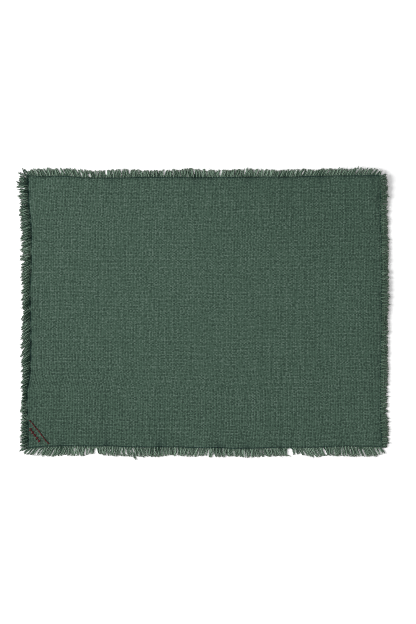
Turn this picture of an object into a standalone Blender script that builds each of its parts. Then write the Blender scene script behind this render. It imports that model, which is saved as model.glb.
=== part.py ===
"""A fringed table mat lying flat.

One length of coarse plain-weave cloth is sewn round just inside its edges, and
the yarns past the stitching are frayed out into a short fringe on all four
sides. The cloth is one solid. Each fringe is one comb along its edge, with a
spine next to the stitching and a tooth for every two or so yarn ends.

Units are millimetres in the tables and metres in the meshes. +X runs along the
mat's length, +Y along its width, +Z up. The origin is under the middle of the
mat, on the surface that it lies on.
"""

import math

import bmesh
import bpy
import numpy as np

MM = 0.001

CLOTH_THICK = 1.6      # coarse cloth, two crossing yarns deep
FRINGE_THICK = 1.1     # one layer of loose yarns
SEAM_ALLOWANCE = 1.0   # cloth past the middle of the stitch line
GAP = 0.3              # between the cloth and each comb
SPINE = 1.6            # width of the comb's back, beside the stitching
CELLS_LONG = 36        # divisions of the cloth along X
CELLS_WIDE = 28        # divisions of the cloth along Y
TEETH_PER_CELL = 3
ROOT_SHARE = 0.62      # how much of its pitch a tooth fills at its root
TIP_SHARE = 0.34       # and at its tip
TIP_SCATTER = 0.7      # how unevenly the yarn ends are cut
LIFT_REACH = 75.0      # how far the lifted right edge runs into the mat
TIP_DROOP = 0.35       # share of the lift that the yarn ends lose by their tips

# Each side is followed in steps along it: where the stitch line runs, how far
# the fringe reaches, and how far the yarn ends lean along the edge.
SIDES = {
    "left": {
        "along": "y",
        "columns": ("y", "stitch_x", "tip_x", "lean_y"),
        "rows": (
            (-166, -216.0, -225.3, -3.0),
            (-145, -216.0, -224.4, -2.0),
            (-120, -217.0, -223.4, -3.0),
            (-100, -217.6, -223.3, -3.0),
            (-73, -214.8, -223.2, -3.0),
            (-23, -213.6, -223.3, -4.5),
            (20, -214.6, -222.5, -4.0),
            (40, -213.5, -223.2, -2.0),
            (99, -213.6, -223.9, -3.0),
            (114, -216.0, -224.4, -3.0),
            (128, -218.0, -225.6, -1.0),
            (146, -217.2, -227.2, 1.5),
            (158, -217.2, -227.6, 3.0),
            (167, -217.0, -225.5, 3.5),
        ),
    },
    "right": {
        "along": "y",
        "columns": ("y", "stitch_x", "tip_x", "lean_y"),
        "rows": (
            (-166, 218.5, 224.8, -2.0),
            (-157, 219.2, 227.4, -1.0),
            (-137, 217.5, 226.9, 0.0),
            (-128, 217.3, 226.3, -1.0),
            (-108, 217.3, 225.6, 1.0),
            (-73, 217.3, 226.8, 1.0),
            (-39, 218.2, 226.0, 2.0),
            (0, 218.4, 226.9, 1.0),
            (20, 218.4, 227.6, -1.0),
            (40, 218.4, 227.4, 2.0),
            (75, 218.4, 227.0, 1.0),
            (99, 218.0, 226.9, -1.0),
            (118, 217.2, 226.1, -2.0),
            (140, 217.2, 226.0, 2.0),
            (158, 217.2, 225.8, 3.0),
            (167, 216.4, 224.0, 3.0),
        ),
    },
    "top": {
        "along": "x",
        "columns": ("x", "stitch_y", "tip_y", "lean_x"),
        "rows": (
            (-218, 168.4, 173.4, -3.5),
            (-209, 167.8, 174.7, -4.0),
            (-196, 166.8, 176.8, -3.0),
            (-184, 167.5, 176.4, -2.0),
            (-160, 166.8, 176.3, -3.0),
            (-147, 165.4, 174.7, -2.0),
            (-128, 165.3, 173.9, 0.0),
            (-98, 165.4, 175.2, -1.0),
            (-70, 166.4, 174.0, 0.0),
            (-36, 166.5, 174.8, 1.0),
            (-18, 166.5, 176.4, -1.0),
            (7, 166.5, 174.5, 1.0),
            (37, 166.7, 175.3, 2.0),
            (55, 167.2, 175.8, 2.0),
            (87, 167.2, 174.1, 3.0),
            (105, 167.2, 175.2, 3.0),
            (130, 167.3, 175.3, 4.0),
            (160, 167.8, 176.1, 4.0),
            (190, 167.8, 176.9, 4.0),
            (209, 167.8, 175.6, 4.0),
            (218, 167.8, 171.8, 2.0),
        ),
    },
    "bottom": {
        "along": "x",
        "columns": ("x", "stitch_y", "tip_y", "lean_x"),
        "rows": (
            (-217, -165.7, -172.4, -4.5),
            (-207, -164.6, -173.7, -5.0),
            (-184, -163.4, -175.9, -4.0),
            (-165, -163.2, -174.4, -2.0),
            (-147, -163.2, -175.4, -1.0),
            (-135, -163.2, -172.2, -2.0),
            (-116, -163.3, -174.7, 1.0),
            (-92, -164.4, -175.9, 2.0),
            (-61, -164.5, -176.4, 1.0),
            (-36, -164.6, -174.4, 0.0),
            (-12, -165.7, -175.8, -2.0),
            (1, -165.7, -175.0, -2.0),
            (18, -165.9, -176.5, 0.0),
            (37, -166.8, -176.0, 1.0),
            (50, -166.8, -177.0, 1.0),
            (80, -165.6, -175.9, 3.0),
            (104, -165.2, -175.5, 2.0),
            (111, -165.2, -173.0, 3.0),
            (124, -165.2, -175.7, 4.0),
            (136, -165.1, -176.5, 4.0),
            (148, -164.5, -174.5, 2.0),
            (167, -163.8, -175.5, 1.0),
            (186, -163.8, -176.3, 3.0),
            (205, -163.9, -175.5, 4.0),
            (218, -164.2, -172.0, 3.5),
        ),
    },
}

# How far the right-hand edge stands off the surface, followed along Y.
RIGHT_LIFT = (  # y, lift
    (-170, 0.5),
    (-120, 0.6),
    (-80, 0.9),
    (-30, 1.5),
    (5, 2.2),
    (34, 3.0),
    (62, 2.0),
    (100, 1.5),
    (124, 2.0),
    (146, 4.2),
    (170, 5.2),
)

BASE_X = (-217.0, 218.0)   # the sewn rectangle that the sides waver round
BASE_Y = (-165.5, 167.5)


def clear_scene():
    for ob in list(bpy.data.objects):
        bpy.data.objects.remove(ob, do_unlink=True)


def smooth_table(rows, column):
    """A smooth curve through one column of a table, as a function of the first."""
    xs = np.array([r[0] for r in rows], float)
    ys = np.array([r[column] for r in rows], float)
    steps = np.diff(ys) / np.diff(xs)
    slopes = np.zeros(len(xs))
    slopes[0], slopes[-1] = steps[0], steps[-1]
    for i in range(1, len(xs) - 1):
        a, b = steps[i - 1], steps[i]
        # Monotone slopes keep the curve from swinging past the stated sizes.
        slopes[i] = 0.0 if a * b <= 0 else 2 * a * b / (a + b)

    def value(x):
        x = min(max(x, xs[0]), xs[-1])
        i = min(int(np.searchsorted(xs, x, side="right")) - 1, len(xs) - 2)
        h = xs[i + 1] - xs[i]
        t = (x - xs[i]) / h
        return float(
            (2 * t**3 - 3 * t**2 + 1) * ys[i]
            + (t**3 - 2 * t**2 + t) * h * slopes[i]
            + (-2 * t**3 + 3 * t**2) * ys[i + 1]
            + (t**3 - t**2) * h * slopes[i + 1]
        )

    return value


STITCH = {side: smooth_table(t["rows"], 1) for side, t in SIDES.items()}
TIP = {side: smooth_table(t["rows"], 2) for side, t in SIDES.items()}
LEAN = {side: smooth_table(t["rows"], 3) for side, t in SIDES.items()}
LIFT_AT = smooth_table(RIGHT_LIFT, 1)


def mix(a, b, t):
    return a + (b - a) * t


def lift(x, y):
    """Height of the cloth's underside over the surface at a place on the mat."""
    t = (x - (BASE_X[1] - LIFT_REACH)) / LIFT_REACH
    t = min(max(t, 0.0), 1.0)
    return LIFT_AT(y) * t * t * (3 - 2 * t)


def cloth_point(u, v):
    """A place on the cloth, from (0, 0) at the lower left corner to (1, 1)."""
    x0, y0 = mix(*BASE_X, u), mix(*BASE_Y, v)
    x = mix(
        STITCH["left"](y0) - SEAM_ALLOWANCE, STITCH["right"](y0) + SEAM_ALLOWANCE, u
    )
    y = mix(
        STITCH["bottom"](x0) - SEAM_ALLOWANCE, STITCH["top"](x0) + SEAM_ALLOWANCE, v
    )
    return x, y


def material(name, colour, roughness):
    mat = bpy.data.materials.new(name)
    mat.use_nodes = True
    shader = mat.node_tree.nodes["Principled BSDF"]
    shader.inputs["Base Color"].default_value = (*colour, 1.0)
    shader.inputs["Roughness"].default_value = roughness
    shader.inputs["Metallic"].default_value = 0.0
    return mat


def thicken(bm, thick):
    """Turns a sheet of faces into a closed solid by extruding it upwards."""
    bmesh.ops.triangulate(bm, faces=bm.faces[:])
    made = bmesh.ops.extrude_face_region(bm, geom=bm.faces[:])
    raised = [e for e in made["geom"] if isinstance(e, bmesh.types.BMVert)]
    bmesh.ops.translate(bm, verts=raised, vec=(0.0, 0.0, thick * MM))
    bmesh.ops.recalc_face_normals(bm, faces=bm.faces[:])


def finish(bm, name, mat):
    mesh = bpy.data.meshes.new(name)
    bm.to_mesh(mesh)
    bm.free()
    mesh.materials.append(mat)
    ob = bpy.data.objects.new(name, mesh)
    bpy.context.scene.collection.objects.link(ob)
    return ob


def make_cloth(mat):
    bm = bmesh.new()
    grid = []
    for j in range(CELLS_WIDE + 1):
        row = []
        for i in range(CELLS_LONG + 1):
            x, y = cloth_point(i / CELLS_LONG, j / CELLS_WIDE)
            row.append(bm.verts.new((x * MM, y * MM, lift(x, y) * MM)))
        grid.append(row)
    for j in range(CELLS_WIDE):
        for i in range(CELLS_LONG):
            bm.faces.new(
                (grid[j][i], grid[j][i + 1], grid[j + 1][i + 1], grid[j + 1][i])
            )
    thicken(bm, CLOTH_THICK)
    return finish(bm, "cloth", mat)


def edge_point(side, s):
    """A place on the cloth's own edge, s from 0 to 1, on the straight run
    between two corners of its grid."""
    cells = CELLS_WIDE if SIDES[side]["along"] == "y" else CELLS_LONG
    k = min(int(s * cells + 1e-9), cells - 1)
    t = s * cells - k
    ends = []
    for c in (k / cells, (k + 1) / cells):
        ends.append(
            {
                "left": lambda c: cloth_point(0.0, c),
                "right": lambda c: cloth_point(1.0, c),
                "bottom": lambda c: cloth_point(c, 0.0),
                "top": lambda c: cloth_point(c, 1.0),
            }[side](c)
        )
    return mix(ends[0][0], ends[1][0], t), mix(ends[0][1], ends[1][1], t)


def scatter(side, i):
    """A fixed, uneven number from -1 to 1 for each tooth."""
    key = {"left": 1.7, "right": 4.1, "top": 7.3, "bottom": 9.9}[side]
    return math.sin(12.9898 * (i + 1) + 78.233 * key) * math.cos(4.37 * i + key)


def make_fringe(side, mat):
    """The comb along one side: a spine beside the cloth, then its teeth."""
    along_y = SIDES[side]["along"] == "y"
    out = -1.0 if side in ("left", "bottom") else 1.0
    cells = CELLS_WIDE if along_y else CELLS_LONG
    teeth = cells * TEETH_PER_CELL
    pitch = 1.0 / teeth
    bm = bmesh.new()

    def place(s, depth, shift=0.0, drop=0.0):
        """depth runs outwards from the cloth's edge, shift along it."""
        x, y = edge_point(side, s)
        height = lift(x, y) * (1.0 - drop)
        if along_y:
            x, y = x + out * depth, y + shift
        else:
            x, y = x + shift, y + out * depth
        return bm.verts.new((x * MM, y * MM, height * MM))

    inner = [place(k / cells, GAP) for k in range(cells + 1)]
    back = GAP + SPINE
    first, last = place(0.0, back), place(1.0, back)
    outer = [[] for _ in range(cells)]
    for i in range(teeth):
        middle = (i + 0.5) * pitch
        half = 0.5 * pitch * ROOT_SHARE
        x, y = edge_point(side, middle)
        along = y if along_y else x
        root_a, root_b = place(middle - half, back), place(middle + half, back)
        reach = abs(TIP[side](along) - (x if along_y else y))
        reach = max(reach + TIP_SCATTER * scatter(side, i), back + 2.0)
        lean = LEAN[side](along) * min(1.0, reach / 8.0)
        half *= TIP_SHARE / ROOT_SHARE
        tip_a = place(middle - half, reach, lean, TIP_DROOP)
        tip_b = place(middle + half, reach, lean, TIP_DROOP)
        bm.faces.new((root_a, root_b, tip_b, tip_a))
        outer[i // TEETH_PER_CELL] += [root_a, root_b]
    for k in range(cells):
        # The spine's outer line also turns at the gap between two cells.
        start = first if k == 0 else joint
        joint = last if k == cells - 1 else place((k + 1) / cells, back)
        bm.faces.new([inner[k], inner[k + 1], joint, *reversed(outer[k]), start])
    bmesh.ops.recalc_face_normals(bm, faces=bm.faces[:])
    thicken(bm, FRINGE_THICK)
    return finish(bm, f"fringe_{side}", mat)


def centre(obs):
    """Puts the origin under the middle of the mat's box."""
    corners = np.array([v.co for ob in obs for v in ob.data.vertices])
    middle = (corners.min(axis=0) + corners.max(axis=0)) / 2
    for ob in obs:
        for v in ob.data.vertices:
            v.co.x -= middle[0]
            v.co.y -= middle[1]


def main():
    clear_scene()
    cloth_mat = material("woven_cotton", (0.062, 0.104, 0.078), 0.9)
    fringe_mat = material("frayed_cotton", (0.078, 0.125, 0.096), 0.92)
    obs = [make_cloth(cloth_mat)]
    obs += [make_fringe(side, fringe_mat) for side in SIDES]
    centre(obs)


main()
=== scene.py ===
"""The looks of a fringed table mat lying flat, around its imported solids.

The cloth is one thin closed shell whose top follows every yarn crossing of a
coarse plain weave. The fringe is the weave's own yarns, frayed out: one strand
of loosely twisted threads for each yarn. A dark thread is sewn round the cloth
just inside its edges, and a few dark red stitches cross one corner.

Tables and shape functions are in millimetres, meshes in metres. +X runs along
the mat's length, +Y along its width, +Z up.
"""

import math

import bpy
import numpy as np
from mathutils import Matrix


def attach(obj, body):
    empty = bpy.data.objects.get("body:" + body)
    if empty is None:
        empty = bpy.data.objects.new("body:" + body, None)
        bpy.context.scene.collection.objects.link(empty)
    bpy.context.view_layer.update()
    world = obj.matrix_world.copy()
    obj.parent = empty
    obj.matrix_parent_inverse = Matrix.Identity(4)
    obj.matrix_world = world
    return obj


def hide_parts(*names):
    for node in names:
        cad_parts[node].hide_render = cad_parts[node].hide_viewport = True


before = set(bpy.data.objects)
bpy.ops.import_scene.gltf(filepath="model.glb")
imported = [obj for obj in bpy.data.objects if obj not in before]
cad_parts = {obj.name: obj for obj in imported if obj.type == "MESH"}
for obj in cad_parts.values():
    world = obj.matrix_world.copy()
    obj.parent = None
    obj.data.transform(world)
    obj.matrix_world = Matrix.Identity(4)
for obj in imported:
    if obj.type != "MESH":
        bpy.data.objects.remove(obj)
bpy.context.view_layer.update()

MM = 0.001

# ---------------------------------------------------------------- the outline
# Nearly the same sizes as the solids have.

CLOTH_THICK = 1.6
SEAM_ALLOWANCE = 1.0
LIFT_REACH = 75.0
TIP_DROOP = 0.35
BASE_X = (-217.0, 218.0)
BASE_Y = (-165.5, 167.5)
SHIFT_X, SHIFT_Y = -0.030, 0.106  # puts the origin under the middle of the box

# Where the stitch line runs, how far the fringe reaches, and how far the yarn
# ends lean along the edge by 8 mm out.
SIDES = {
    "left": (
        # y, stitch_x, tip_x, lean_y
        (-166, -216.0, -225.3, -3.0),
        (-145, -216.0, -224.4, -2.0),
        (-120, -217.0, -223.4, -3.0),
        (-100, -217.6, -223.3, -3.0),
        (-73, -213.7, -223.2, -4.8),
        (-23, -212.6, -223.3, -5.8),
        (20, -213.8, -222.5, -5.4),
        (46, -212.6, -223.3, -3.9),
        (70, -212.0, -223.6, -3.7),
        (99, -212.2, -223.9, -3.5),
        (112, -212.9, -224.3, -3.0),
        (126, -214.7, -225.4, -1.2),
        (138, -215.5, -226.4, 0.5),
        (146, -215.8, -227.2, 1.5),
        (158, -216.2, -227.6, 3.0),
        (167, -216.3, -225.5, 3.5),
    ),
    "right": (
        # y, stitch_x, tip_x, lean_y
        (-166, 218.5, 224.8, -2.0),
        (-157, 219.2, 227.4, -1.0),
        (-137, 217.5, 226.9, 0.0),
        (-128, 217.3, 226.3, -1.0),
        (-108, 217.3, 225.6, 1.0),
        (-73, 217.3, 226.8, 1.0),
        (-39, 218.2, 226.0, 2.0),
        (0, 218.4, 226.9, 1.0),
        (20, 218.4, 227.6, -1.0),
        (40, 218.4, 227.4, 2.0),
        (75, 218.4, 227.0, 1.0),
        (99, 218.0, 226.9, -1.0),
        (118, 217.2, 226.1, -2.0),
        (140, 217.2, 226.0, 2.0),
        (158, 217.2, 225.8, 3.0),
        (167, 216.4, 224.0, 3.0),
    ),
    "top": (
        # x, stitch_y, tip_y, lean_x
        (-218, 168.4, 173.4, -3.5),
        (-209, 167.8, 174.7, -4.0),
        (-196, 166.8, 176.8, -3.0),
        (-184, 167.5, 176.4, -2.0),
        (-160, 166.8, 176.3, -3.0),
        (-147, 165.4, 174.7, -2.0),
        (-128, 165.3, 173.9, 0.0),
        (-98, 165.4, 175.2, -1.0),
        (-70, 166.4, 174.0, 0.0),
        (-36, 165.8, 174.8, 1.0),
        (-18, 165.8, 176.4, -1.0),
        (7, 165.8, 174.5, 1.0),
        (37, 166.0, 175.3, 2.0),
        (55, 166.5, 175.8, 2.0),
        (87, 166.5, 174.1, 3.0),
        (105, 166.5, 175.2, 3.0),
        (130, 167.3, 175.3, 4.0),
        (160, 167.8, 176.1, 4.0),
        (190, 167.8, 176.9, 4.0),
        (209, 167.8, 175.6, 4.0),
        (218, 167.8, 171.8, 2.0),
    ),
    "bottom": (
        # x, stitch_y, tip_y, lean_x
        (-217, -166.7, -172.4, -8.0),
        (-207, -165.6, -173.7, -5.6),
        (-184, -164.4, -175.9, -4.0),
        (-165, -164.2, -174.4, -2.0),
        (-147, -164.2, -175.4, -1.0),
        (-135, -164.2, -172.2, -2.0),
        (-116, -164.3, -174.7, 1.0),
        (-92, -165.4, -175.9, 2.0),
        (-61, -165.5, -176.4, 1.0),
        (-36, -165.6, -174.4, 0.0),
        (-12, -166.3, -175.8, -2.0),
        (1, -166.3, -175.0, -2.0),
        (18, -166.5, -176.5, 0.0),
        (37, -167.4, -176.0, 1.0),
        (50, -167.4, -177.0, 1.0),
        (80, -166.2, -175.9, 3.0),
        (104, -165.9, -175.5, 2.0),
        (111, -165.9, -173.0, 3.0),
        (124, -165.9, -175.7, 4.0),
        (136, -165.8, -176.5, 4.0),
        (148, -165.2, -174.5, 2.0),
        (167, -164.5, -175.5, 1.0),
        (186, -164.5, -176.3, 3.0),
        (205, -164.6, -175.5, 4.0),
        (218, -164.9, -172.0, 3.5),
    ),
}

RIGHT_LIFT = (  # y, lift
    (-170, 0.5),
    (-120, 0.6),
    (-80, 0.9),
    (-30, 1.5),
    (5, 2.2),
    (34, 3.0),
    (62, 2.0),
    (100, 1.5),
    (124, 2.0),
    (146, 4.2),
    (170, 5.2),
)

# Where the yarn ends part and the surface shows between them.
GAPS = {
    # middle along the edge, half its width, where it opens and closes on the
    # way out, and how far it slants along the edge for each mm out
    "top": (
        (-206.0, 0.8, 3.0, 7.0, -0.5),
        (-177.0, 0.9, 2.0, 12.0, -0.6),
        (-172.0, 0.6, 1.0, 7.0, -0.6),
        (-151.0, 0.7, 1.0, 5.0, -0.3),
        (-141.0, 1.3, -0.5, 3.5, -0.2),
        (-131.0, 0.6, 1.0, 6.0, 0.0),
        (-119.5, 0.9, 2.5, 12.0, 0.0),
        (-91.0, 1.0, 3.5, 12.0, 0.1),
        (-47.5, 0.8, 2.0, 12.0, 0.2),
        (-37.5, 0.7, 1.0, 7.0, 0.1),
        (20.5, 1.0, 1.0, 6.0, 0.1),
        (51.0, 0.7, 2.0, 12.0, 0.3),
        (113.5, 0.7, 2.0, 8.0, 0.5),
        (123.0, 0.8, 1.0, 6.0, 0.5),
        (154.0, 0.8, 1.5, 6.0, 0.6),
        (189.0, 1.3, 1.0, 6.5, 0.7),
        (210.0, 1.0, 0.5, 6.0, 0.9),
        (215.5, 1.0, 0.5, 7.0, 1.0),
    ),
    "bottom": (
        (-217.5, 0.9, 1.0, 5.0, -1.4),
        (-212.0, 0.8, 1.0, 8.0, -0.8),
        (-205.0, 1.0, 1.0, 12.0, -0.9),
        (-200.0, 0.8, 2.0, 12.0, -0.8),
        (-184.5, 0.9, 2.0, 12.0, -0.5),
        (-159.0, 1.0, 0.5, 5.5, -0.2),
        (-145.5, 0.9, 1.0, 9.0, -0.3),
        (-141.5, 0.8, 1.0, 9.0, -0.3),
        (-132.0, 1.7, 1.2, 12.0, 0.2),
        (-101.0, 0.7, 0.5, 8.0, -0.3),
        (-96.0, 0.6, 0.5, 8.0, -0.2),
        (-86.0, 0.9, 0.5, 6.0, 0.2),
        (6.0, 1.0, 2.0, 12.0, -0.1),
        (-6.0, 0.6, 2.0, 9.0, -0.2),
        (37.5, 0.9, 1.0, 8.0, 0.1),
        (50.0, 0.9, 1.0, 12.0, 0.1),
        (105.2, 2.7, -0.3, 8.2, -0.15),
        (113.5, 0.7, 1.5, 12.0, 0.5),
        (118.5, 0.7, 2.0, 9.0, 0.5),
        (123.5, 0.7, 2.0, 9.0, 0.5),
        (140.0, 0.6, 1.0, 8.0, 0.5),
        (149.5, 1.2, 1.0, 8.0, 0.6),
        (181.0, 0.6, 2.0, 8.0, 0.2),
        (191.5, 0.9, 2.0, 12.0, 0.4),
        (196.5, 1.0, 2.0, 12.0, 0.4),
        (212.5, 0.8, 1.5, 12.0, 0.6),
        (217.5, 0.9, 1.0, 12.0, 0.7),
    ),
    "left": (
        (158.6, 0.9, 8.0, 14.0, 0.5),
        (152.4, 0.7, 7.5, 14.0, -0.2),
        (149.6, 0.7, 7.0, 14.0, 0.1),
        (145.6, 0.7, 6.5, 14.0, 0.1),
    ),
    "right": (),
}

# Single yarn ends that reach past the rest: where along the edge, how much
# further they go, and how far they lean by 8 mm out.
STRAYS = {
    "left": (
        (166.5, -2.2, 15.0),
        (156.6, 3.2, -1.2),
        (154.4, 3.3, 4.1),
        (151.2, -0.3, -1.6),
        (144.8, 3.3, -0.6),
        (113.0, 1.8, -2.6),
        (60.0, 1.6, -3.6),
        (-12.0, 1.4, -6.2),
        (-108.0, 1.6, -2.4),
    ),
    "right": (
        (141.0, 2.6, 1.6),
        (90.0, 2.6, -0.4),
        (19.5, 2.8, -0.8),
        (9.5, 2.8, 0.0),
        (-90.0, 1.8, 1.0),
        (-129.0, 2.0, -1.0),
    ),
    "top": (
        (-217.0, 3.5, -5.0),
        (-191.0, 2.0, -1.0),
        (-97.5, 2.0, 0.5),
        (-7.0, 1.4, 0.5),
        (83.0, 1.8, 3.0),
    ),
    "bottom": (
        (-174.0, 2.6, -2.6),
        (-87.0, 5.6, 2.0),
        (-60.0, 1.8, 1.0),
        (133.0, 1.6, 5.0),
    ),
}


def smooth_table(rows, column):
    """A smooth curve through one column of a table, for arrays of places."""
    xs = np.array([r[0] for r in rows], float)
    ys = np.array([r[column] for r in rows], float)
    steps = np.diff(ys) / np.diff(xs)
    slopes = np.zeros(len(xs))
    slopes[0], slopes[-1] = steps[0], steps[-1]
    for i in range(1, len(xs) - 1):
        a, b = steps[i - 1], steps[i]
        slopes[i] = 0.0 if a * b <= 0 else 2 * a * b / (a + b)

    def value(x):
        x = np.clip(np.asarray(x, float), xs[0], xs[-1])
        i = np.minimum(np.searchsorted(xs, x, side="right") - 1, len(xs) - 2)
        h = xs[i + 1] - xs[i]
        t = (x - xs[i]) / h
        return (
            (2 * t**3 - 3 * t**2 + 1) * ys[i]
            + (t**3 - 2 * t**2 + t) * h * slopes[i]
            + (-2 * t**3 + 3 * t**2) * ys[i + 1]
            + (t**3 - t**2) * h * slopes[i + 1]
        )

    return value


STITCH = {side: smooth_table(rows, 1) for side, rows in SIDES.items()}
TIP = {side: smooth_table(rows, 2) for side, rows in SIDES.items()}
LEAN = {side: smooth_table(rows, 3) for side, rows in SIDES.items()}
LIFT_AT = smooth_table(RIGHT_LIFT, 1)


def mix(a, b, t):
    return a + (b - a) * t


def ease(t):
    t = np.clip(t, 0.0, 1.0)
    return t * t * (3 - 2 * t)


def lift(x, y):
    """Height of the cloth's underside over the surface."""
    return LIFT_AT(y) * ease((x - (BASE_X[1] - LIFT_REACH)) / LIFT_REACH)


def sides_at(u, v):
    """Where the cloth's four edges are, level with a place on it."""
    x0, y0 = mix(*BASE_X, u), mix(*BASE_Y, v)
    return (
        STITCH["left"](y0) - SEAM_ALLOWANCE,
        STITCH["right"](y0) + SEAM_ALLOWANCE,
        STITCH["bottom"](x0) - SEAM_ALLOWANCE,
        STITCH["top"](x0) + SEAM_ALLOWANCE,
    )


def cloth_point(u, v):
    left, right, bottom, top = sides_at(u, v)
    return mix(left, right, u), mix(bottom, top, v)


# ------------------------------------------------------------- small helpers


def wander(rng, rows, length, step):
    """Smooth random lines about zero, one a row, that turn every few points."""
    knots = rng.standard_normal((rows, int(length / step) + 5))
    t = np.arange(length) / step + 1
    i = t.astype(int)
    f = t - i
    a, b, c, d = (knots[:, i + k] for k in (-1, 0, 1, 2))
    return b + 0.5 * f * (
        c - a + f * (2 * a - 5 * b + 4 * c - d + f * (3 * (b - c) + d - a))
    )


def slubs(rng, rows, length, share, reach):
    """Thick places along yarns: share of them for each point, reach points long."""
    out = np.zeros((rows, length))
    at = np.arange(length)
    for _ in range(int(rows * length * share)):
        row, middle = rng.integers(rows), rng.uniform(0, length)
        size = reach * rng.uniform(0.5, 1.6)
        out[row] += rng.uniform(0.4, 1.0) * np.exp(-(((at - middle) / size) ** 2))
    return out


def build(name, parts, mat, smooth=True):
    """One mesh object from parts: dicts of verts in mm, tris, uv and values."""
    verts, tris, start = [], [], 0
    for p in parts:
        verts.append(p["verts"])
        tris.append(p["tris"] + start)
        start += len(p["verts"])
    verts = np.concatenate(verts) * MM
    verts[:, 0] += SHIFT_X * MM
    verts[:, 1] += SHIFT_Y * MM
    tris = np.concatenate(tris).astype(np.int32)
    mesh = bpy.data.meshes.new(name)
    mesh.vertices.add(len(verts))
    mesh.vertices.foreach_set("co", verts.astype(np.float32).ravel())
    mesh.loops.add(len(tris) * 3)
    mesh.loops.foreach_set("vertex_index", tris.ravel())
    mesh.polygons.add(len(tris))
    mesh.polygons.foreach_set("loop_start", np.arange(0, len(tris) * 3, 3, np.int32))
    mesh.polygons.foreach_set("use_smooth", np.full(len(tris), smooth))
    mesh.update(calc_edges=True)
    for layer in parts[0]["uv"]:
        uv = mesh.uv_layers.new(name=layer)
        flat = np.concatenate([p["uv"][layer].reshape(-1, 2) for p in parts])
        uv.data.foreach_set("uv", flat.astype(np.float32).ravel())
    for value in parts[0]["values"]:
        attribute = mesh.attributes.new(value, "FLOAT", "POINT")
        flat = np.concatenate([p["values"][value] for p in parts])
        attribute.data.foreach_set("value", flat.astype(np.float32))
    mesh.materials.append(mat)
    mesh.validate()
    ob = bpy.data.objects.new(name, mesh)
    bpy.context.scene.collection.objects.link(ob)
    return ob


def tubes(paths, radii, sides, values):
    """Closed tubes along many paths at once.

    paths is (n, k, 3), radii (n, k), and each of values (n,) or (n, k). The UV
    map "yarn" runs once around each tube and in mm along it.
    """
    n, k, _ = paths.shape
    along = np.gradient(paths, axis=1)
    along /= np.linalg.norm(along, axis=2, keepdims=True) + 1e-9
    across = np.cross(np.array([0.0, 0.0, 1.0]), along)
    across += np.array([1e-6, 2e-6, 0.0])
    across /= np.linalg.norm(across, axis=2, keepdims=True)
    up = np.cross(along, across)
    angle = 2 * math.pi * np.arange(sides) / sides
    ring = (
        paths[:, :, None, :]
        + radii[:, :, None, None]
        * (
            across[:, :, None, :] * np.cos(angle)[:, None]
            + up[:, :, None, :] * np.sin(angle)[:, None]
        )
    )
    tip = paths[:, -1] + along[:, -1] * radii[:, -1, None] * 0.6
    root = paths[:, 0]
    per = k * sides + 2
    verts = np.concatenate(
        [ring.reshape(n, k * sides, 3), root[:, None], tip[:, None]], axis=1
    )
    r, s = np.meshgrid(np.arange(k - 1), np.arange(sides), indexing="ij")
    a, b = r * sides + s, r * sides + (s + 1) % sides
    c, d = a + sides, b + sides
    wall = np.stack([a, b, d, a, d, c], axis=-1).reshape(-1, 3)
    s1 = np.arange(sides)
    s2 = (s1 + 1) % sides
    first, last = k * sides, k * sides + 1
    end = (k - 1) * sides
    caps = np.concatenate(
        [
            np.stack([np.full(sides, first), s2, s1], axis=-1),
            np.stack([np.full(sides, last), end + s1, end + s2], axis=-1),
        ]
    )
    one = np.concatenate([wall, caps])
    tris = (one[None] + (np.arange(n) * per)[:, None, None]).reshape(-1, 3)

    run = np.linalg.norm(np.diff(paths, axis=1), axis=2)
    run = np.concatenate([np.zeros((n, 1)), np.cumsum(run, axis=1)], axis=1)
    u0, u1 = s / sides, (s + 1) / sides
    wall_u = np.stack([u0, u1, u1, u0, u1, u0], axis=-1).reshape(-1)
    wall_r = np.stack([r, r, r + 1, r, r + 1, r + 1], axis=-1).reshape(-1)
    cap_u = np.concatenate(
        [
            np.stack([(s1 + 0.5) / sides, (s1 + 1) / sides, s1 / sides], axis=-1),
            np.stack([(s1 + 0.5) / sides, s1 / sides, (s1 + 1) / sides], axis=-1),
        ]
    ).reshape(-1)
    cap_r = np.repeat([0, k - 1], sides * 3)
    uu = np.concatenate([wall_u, cap_u])
    rr = np.concatenate([wall_r, cap_r])
    uv = np.stack([np.broadcast_to(uu, (n, len(uu))), run[:, rr]], axis=-1)

    out = {}
    for key, value in values.items():
        value = np.asarray(value, float)
        if value.ndim == 1:
            value = np.repeat(value[:, None], k, axis=1)
        full = np.repeat(value, sides, axis=1)
        out[key] = np.concatenate([full, value[:, :1], value[:, -1:]], axis=1).ravel()
    return {
        "verts": verts.reshape(-1, 3),
        "tris": tris,
        "uv": {"yarn": uv.reshape(-1, 3, 2)},
        "values": out,
    }


# ----------------------------------------------------------------- materials


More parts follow.
